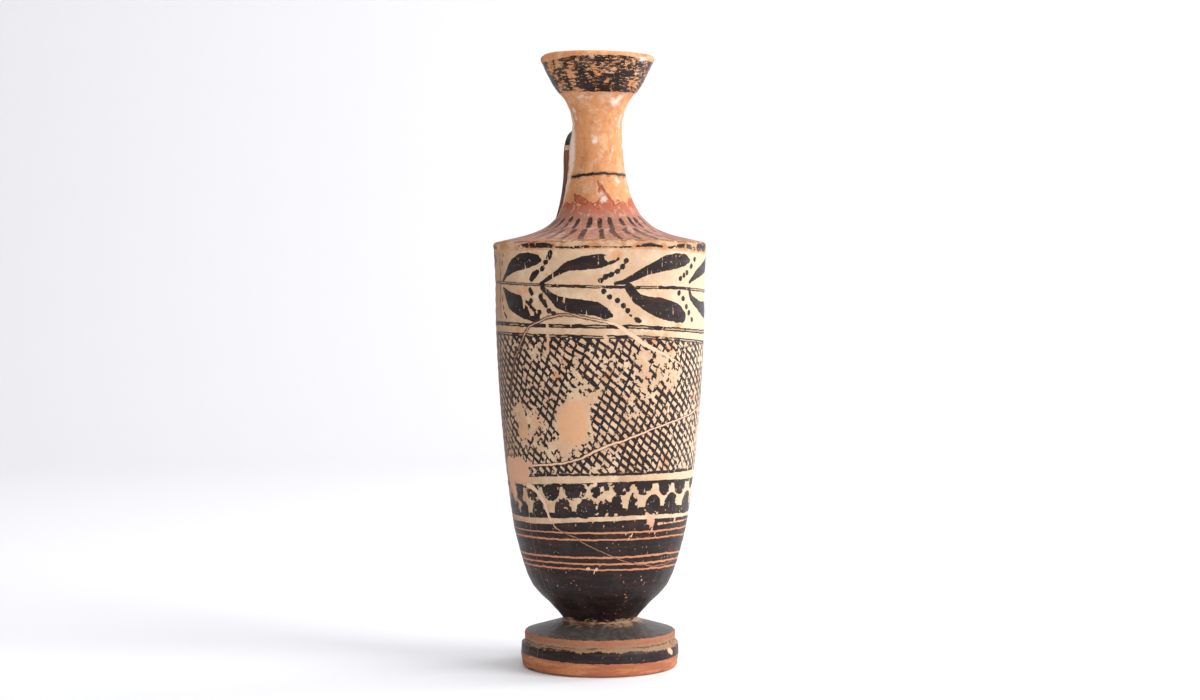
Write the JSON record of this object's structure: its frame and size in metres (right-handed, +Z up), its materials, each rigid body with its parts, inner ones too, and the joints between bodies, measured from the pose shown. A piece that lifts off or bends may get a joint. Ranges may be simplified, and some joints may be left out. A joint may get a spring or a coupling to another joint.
{
  "type": "lekythos",
  "caption": "Slim fired-clay oil flask with a cup mouth, tall neck, sharp shoulder, tapering body, disc foot and strap handle.",
  "frame": {"origin": "on the turning axis, in the plane that the foot stands on", "axes": "+Z up along the turning axis, +Y towards the handle"},
  "size_m": [0.0766, 0.0766, 0.22],
  "materials": {
    "fired_clay": "matte fired clay with a cream slip and worn black painted bands"
  },
  "bodies": {
    "root": {"lekythos": "fired_clay"}
  },
  "joints": []
}
